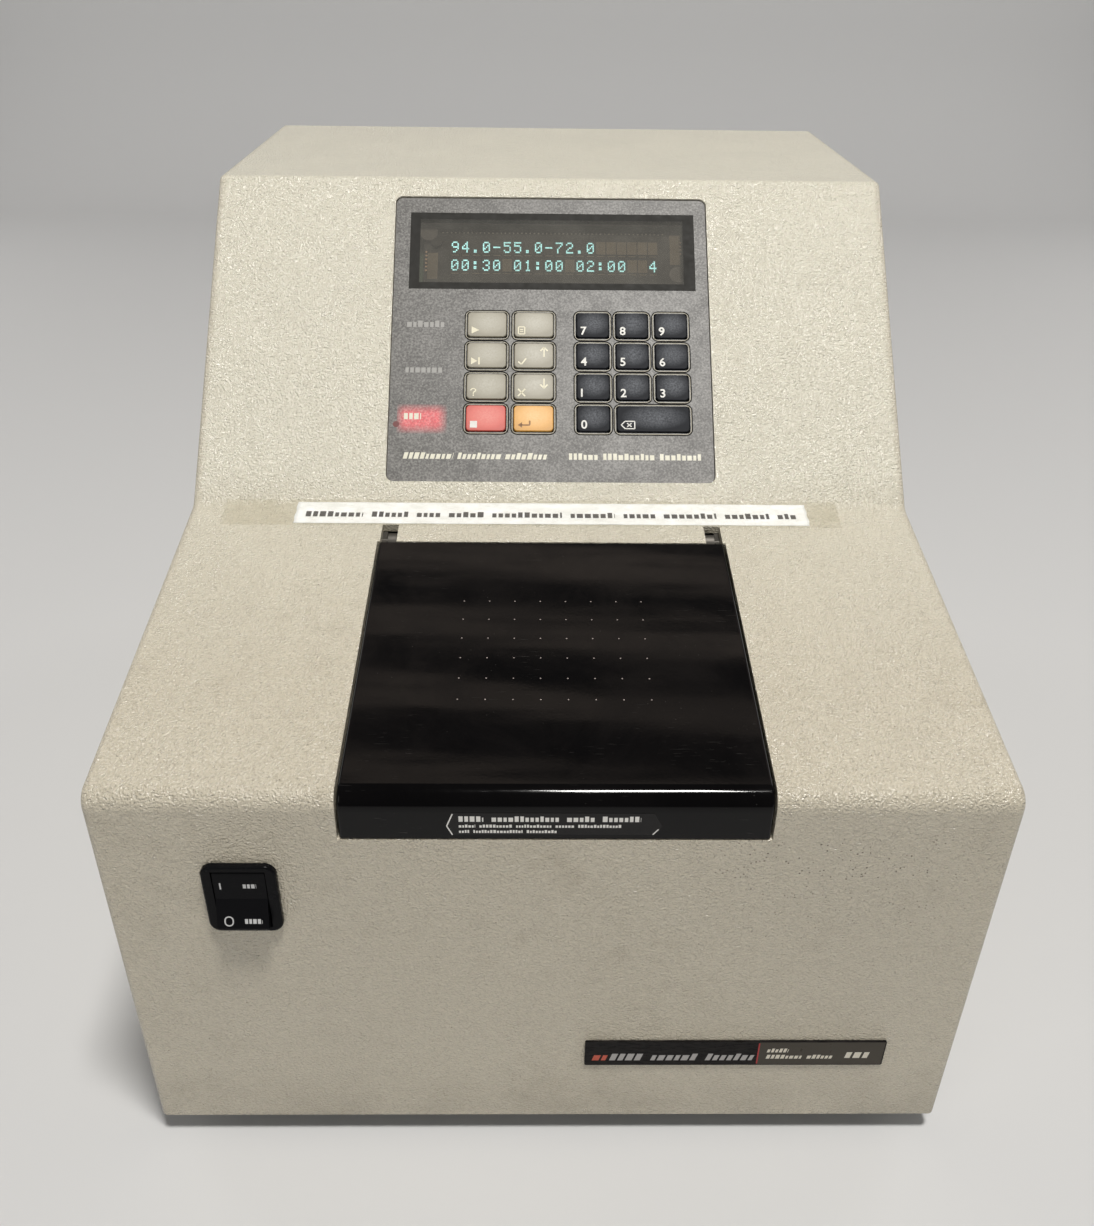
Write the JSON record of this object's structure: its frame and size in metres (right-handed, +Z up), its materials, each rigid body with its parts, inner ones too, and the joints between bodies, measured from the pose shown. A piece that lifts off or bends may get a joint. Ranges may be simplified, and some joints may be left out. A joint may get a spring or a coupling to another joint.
{
  "type": "thermal cycler",
  "caption": "Bench-top thermal cycler: sloping deck with a hinged black lid over the sample block, tilted keypad console with a display, rocker switch on the front.",
  "frame": {"origin": "middle of the overall length and width, on the surface the feet stand on", "axes": "+Z up, +Y away from the operator, +X to the operator's right"},
  "size_m": [0.3462, 0.4813, 0.3501],
  "materials": {
    "housing": "fine textured, warm cream, lightly worn and speckled",
    "zinc_sheet": "zinc plated sheet, dull",
    "rear_paint": "semi-matt paint close to the housing",
    "foot_rubber": "matt black",
    "screw_steel": "plated, slightly dull",
    "badge_strip": "printed strip, black with a warm grey end",
    "lid_gloss": "glossy black with faint scratches and rows of dots",
    "foam_grey": "closed cell foam",
    "plate_aluminium": "milled",
    "hinge_steel": "plain steel with a little tarnish",
    "block_aluminium": "machined and dulled by use",
    "seal_rubber": "soft black",
    "heater_pad": "silicone sheet",
    "keypad_panel": "dark warm grey, semi-matt and finger-marked",
    "smoked_window": "smoked, smooth",
    "display_glass": "dark vacuum tube with lit dot characters",
    "circuit_board": "solder resist",
    "lamp_lens": "dark lenses; the lowest is lit red",
    "switch_black": "semi-gloss black",
    "rocker_black": "semi-gloss black with white marks",
    "connector_black": "black thermoplastic",
    "connector_steel": "plated shell",
    "fan_black": "black thermoplastic",
    "fin_aluminium": "thin fins",
    "compressor_paint": "black enamel",
    "transformer_steel": "varnished core",
    "ribbon_grey": "grey vinyl",
    "tank_plastic": "milky polythene",
    "hose_rubber": "smooth black",
    "key_beige": "satin cap, light printed mark",
    "key_red": "satin cap, light printed mark",
    "key_amber": "satin cap, dark printed mark",
    "key_dark": "satin cap, light printed figure"
  },
  "bodies": {
    "housing": {"badge": "badge_strip", "base_pan": "zinc_sheet", "bay_gasket": "seal_rubber", "block_heater": "heater_pad", "block_insulation": "foam_grey", "block_screws": "screw_steel", "case_screws": "screw_steel", "compressor": "compressor_paint", "condenser": "fin_aluminium", "control_board": "circuit_board", "coolant_hoses": "hose_rubber", "coolant_pump": "fan_black", "coolant_tank": "tank_plastic", "display_board": "circuit_board", "display_ribbon": "ribbon_grey", "display_tube": "display_glass", "display_window": "smoked_window", "fan_frame": "fan_black", "feet": "foot_rubber", "heater_clamp_plate": "plate_aluminium", "hinge_brackets": "hinge_steel", "hinge_pins": "hinge_steel", "housing_shell": "housing", "indicator_lamps": "lamp_lens", "keypad_bezel": "keypad_panel", "keypad_board": "circuit_board", "power_board": "circuit_board", "power_inlet": "connector_black", "rear_panel": "rear_paint", "sample_block": "block_aluminium", "serial_connector": "connector_steel", "switch_body": "switch_black", "temperature_probe": "screw_steel", "transformer": "transformer_steel"},
    "lid": {"lid_cover": "lid_gloss", "lid_foam": "foam_grey", "lid_pressure_plate": "plate_aluminium", "hinge_arms": "hinge_steel"},
    "rocker": {"switch_rocker": "rocker_black"},
    "fan": {"fan_impeller": "fan_black"},
    "key_start": {"key_start": "key_beige"},
    "key_file": {"key_file": "key_beige"},
    "key_step": {"key_step": "key_beige"},
    "key_yes": {"key_yes": "key_beige"},
    "key_help": {"key_help": "key_beige"},
    "key_no": {"key_no": "key_beige"},
    "key_stop": {"key_stop": "key_red"},
    "key_enter": {"key_enter": "key_amber"},
    "key_0": {"key_0": "key_dark"},
    "key_1": {"key_1": "key_dark"},
    "key_2": {"key_2": "key_dark"},
    "key_3": {"key_3": "key_dark"},
    "key_4": {"key_4": "key_dark"},
    "key_5": {"key_5": "key_dark"},
    "key_6": {"key_6": "key_dark"},
    "key_7": {"key_7": "key_dark"},
    "key_8": {"key_8": "key_dark"},
    "key_9": {"key_9": "key_dark"},
    "key_clear": {"key_clear": "key_dark"}
  },
  "joints": [
    {"name": "lid_hinge", "type": "hinge", "parent": "housing", "child": "lid", "pos_m": [0, -0.077, 0.21546], "axis": [-1, 0, 0], "range_deg": [0, 100]},
    {"name": "rocker_pivot", "type": "hinge", "parent": "housing", "child": "rocker", "pos_m": [-0.1182, -0.23257, 0.1464], "axis": [1, 0, 0], "range_deg": [0, 20]},
    {"name": "fan_spin", "type": "hinge", "parent": "housing", "child": "fan", "pos_m": [0.072, 0.21827, 0.12], "axis": [0, 1, 0], "continuous": true},
    {"name": "key_start_press", "type": "slide", "parent": "housing", "child": "key_start", "axis": [0, 0.7022, -0.712], "range_m": [0, 0.0006], "stiffness_N_per_m": 1500, "springref_m": -0.0004},
    {"name": "key_file_press", "type": "slide", "parent": "housing", "child": "key_file", "axis": [0, 0.7022, -0.712], "range_m": [0, 0.0006], "stiffness_N_per_m": 1500, "springref_m": -0.0004},
    {"name": "key_step_press", "type": "slide", "parent": "housing", "child": "key_step", "axis": [0, 0.7022, -0.712], "range_m": [0, 0.0006], "stiffness_N_per_m": 1500, "springref_m": -0.0004},
    {"name": "key_yes_press", "type": "slide", "parent": "housing", "child": "key_yes", "axis": [0, 0.7022, -0.712], "range_m": [0, 0.0006], "stiffness_N_per_m": 1500, "springref_m": -0.0004},
    {"name": "key_help_press", "type": "slide", "parent": "housing", "child": "key_help", "axis": [0, 0.7022, -0.712], "range_m": [0, 0.0006], "stiffness_N_per_m": 1500, "springref_m": -0.0004},
    {"name": "key_no_press", "type": "slide", "parent": "housing", "child": "key_no", "axis": [0, 0.7022, -0.712], "range_m": [0, 0.0006], "stiffness_N_per_m": 1500, "springref_m": -0.0004},
    {"name": "key_stop_press", "type": "slide", "parent": "housing", "child": "key_stop", "axis": [0, 0.7022, -0.712], "range_m": [0, 0.0006], "stiffness_N_per_m": 1500, "springref_m": -0.0004},
    {"name": "key_enter_press", "type": "slide", "parent": "housing", "child": "key_enter", "axis": [0, 0.7022, -0.712], "range_m": [0, 0.0006], "stiffness_N_per_m": 1500, "springref_m": -0.0004},
    {"name": "key_0_press", "type": "slide", "parent": "housing", "child": "key_0", "axis": [0, 0.7022, -0.712], "range_m": [0, 0.0006], "stiffness_N_per_m": 1500, "springref_m": -0.0004},
    {"name": "key_1_press", "type": "slide", "parent": "housing", "child": "key_1", "axis": [0, 0.7022, -0.712], "range_m": [0, 0.0006], "stiffness_N_per_m": 1500, "springref_m": -0.0004},
    {"name": "key_2_press", "type": "slide", "parent": "housing", "child": "key_2", "axis": [0, 0.7022, -0.712], "range_m": [0, 0.0006], "stiffness_N_per_m": 1500, "springref_m": -0.0004},
    {"name": "key_3_press", "type": "slide", "parent": "housing", "child": "key_3", "axis": [0, 0.7022, -0.712], "range_m": [0, 0.0006], "stiffness_N_per_m": 1500, "springref_m": -0.0004},
    {"name": "key_4_press", "type": "slide", "parent": "housing", "child": "key_4", "axis": [0, 0.7022, -0.712], "range_m": [0, 0.0006], "stiffness_N_per_m": 1500, "springref_m": -0.0004},
    {"name": "key_5_press", "type": "slide", "parent": "housing", "child": "key_5", "axis": [0, 0.7022, -0.712], "range_m": [0, 0.0006], "stiffness_N_per_m": 1500, "springref_m": -0.0004},
    {"name": "key_6_press", "type": "slide", "parent": "housing", "child": "key_6", "axis": [0, 0.7022, -0.712], "range_m": [0, 0.0006], "stiffness_N_per_m": 1500, "springref_m": -0.0004},
    {"name": "key_7_press", "type": "slide", "parent": "housing", "child": "key_7", "axis": [0, 0.7022, -0.712], "range_m": [0, 0.0006], "stiffness_N_per_m": 1500, "springref_m": -0.0004},
    {"name": "key_8_press", "type": "slide", "parent": "housing", "child": "key_8", "axis": [0, 0.7022, -0.712], "range_m": [0, 0.0006], "stiffness_N_per_m": 1500, "springref_m": -0.0004},
    {"name": "key_9_press", "type": "slide", "parent": "housing", "child": "key_9", "axis": [0, 0.7022, -0.712], "range_m": [0, 0.0006], "stiffness_N_per_m": 1500, "springref_m": -0.0004},
    {"name": "key_clear_press", "type": "slide", "parent": "housing", "child": "key_clear", "axis": [0, 0.7022, -0.712], "range_m": [0, 0.0006], "stiffness_N_per_m": 1500, "springref_m": -0.0004}
  ]
}
